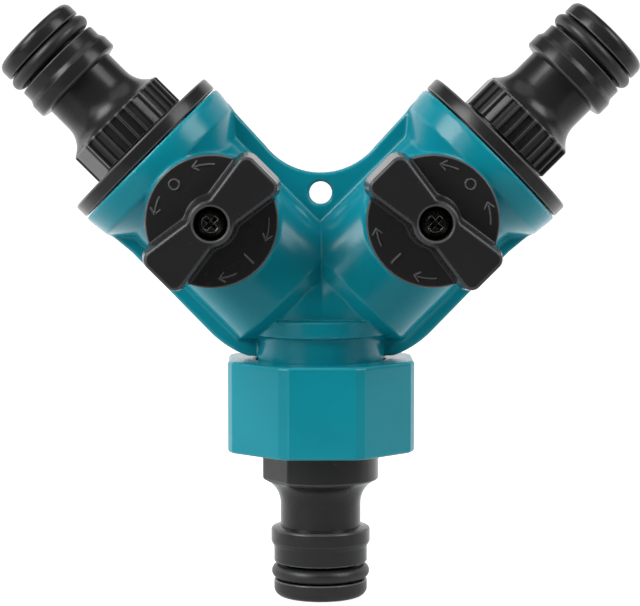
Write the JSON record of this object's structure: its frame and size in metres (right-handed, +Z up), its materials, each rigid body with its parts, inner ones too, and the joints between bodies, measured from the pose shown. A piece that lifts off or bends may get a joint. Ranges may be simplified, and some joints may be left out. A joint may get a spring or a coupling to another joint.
{
  "type": "hose splitter",
  "caption": "Y-shaped garden hose splitter with a quarter-turn shut-off valve in each arm, a swivelling octagonal nut and quick-connect nipples.",
  "frame": {"origin": "centre of the inlet nipple's end face, on the inlet axis", "axes": "+Z up the inlet axis towards the two outlets, +X towards the right outlet, -Y to the front, where the knobs are"},
  "size_m": [0.1075, 0.0407, 0.1009],
  "materials": {
    "teal_plastic": "injection-moulded ABS, satin, teal",
    "black_plastic": "injection-moulded ABS, satin, black",
    "ring_rubber": "moulded nitrile rubber, slightly shiny, black",
    "washer_rubber": "flat rubber washer, matt, brick red",
    "valve_plastic": "turned acetal, smooth, off-white",
    "seat_plastic": "low-friction seal plastic, waxy, white",
    "screw_steel": "dark plated steel",
    "spring_steel": "stainless spring steel"
  },
  "bodies": {
    "splitter": {"splitter_body": "teal_plastic", "left_outlet_cap": "black_plastic", "left_outlet_nipple": "black_plastic", "left_nipple_o_ring": "ring_rubber", "left_cap_o_ring": "ring_rubber", "left_nipple_washer": "washer_rubber", "left_inner_seat": "seat_plastic", "left_outer_seat": "seat_plastic", "right_outlet_cap": "black_plastic", "right_outlet_nipple": "black_plastic", "right_nipple_o_ring": "ring_rubber", "right_cap_o_ring": "ring_rubber", "right_nipple_washer": "washer_rubber", "right_inner_seat": "seat_plastic", "right_outer_seat": "seat_plastic", "swivel_clip": "spring_steel"},
    "left_valve": {"left_knob": "black_plastic", "left_knob_screw": "screw_steel", "left_valve_stem": "valve_plastic", "left_lower_stem_ring": "ring_rubber", "left_upper_stem_ring": "ring_rubber", "left_valve_ball": "valve_plastic"},
    "right_valve": {"right_knob": "black_plastic", "right_knob_screw": "screw_steel", "right_valve_stem": "valve_plastic", "right_lower_stem_ring": "ring_rubber", "right_upper_stem_ring": "ring_rubber", "right_valve_ball": "valve_plastic"},
    "inlet_swivel": {"swivel_nut": "teal_plastic", "inlet_adapter": "black_plastic", "inlet_o_ring": "ring_rubber", "inlet_washer": "washer_rubber"}
  },
  "joints": [
    {"name": "left_knob_turn", "type": "hinge", "parent": "splitter", "child": "left_valve", "pos_m": [-0.01803, 0, 0.06503], "axis": [0, 1, 0], "range_deg": [0, 90]},
    {"name": "right_knob_turn", "type": "hinge", "parent": "splitter", "child": "right_valve", "pos_m": [0.01803, 0, 0.06503], "axis": [0, 1, 0], "range_deg": [0, 90]},
    {"name": "inlet_swivel_turn", "type": "hinge", "parent": "splitter", "child": "inlet_swivel", "pos_m": [0, 0, 0.033], "axis": [0, 0, 1], "continuous": true}
  ]
}
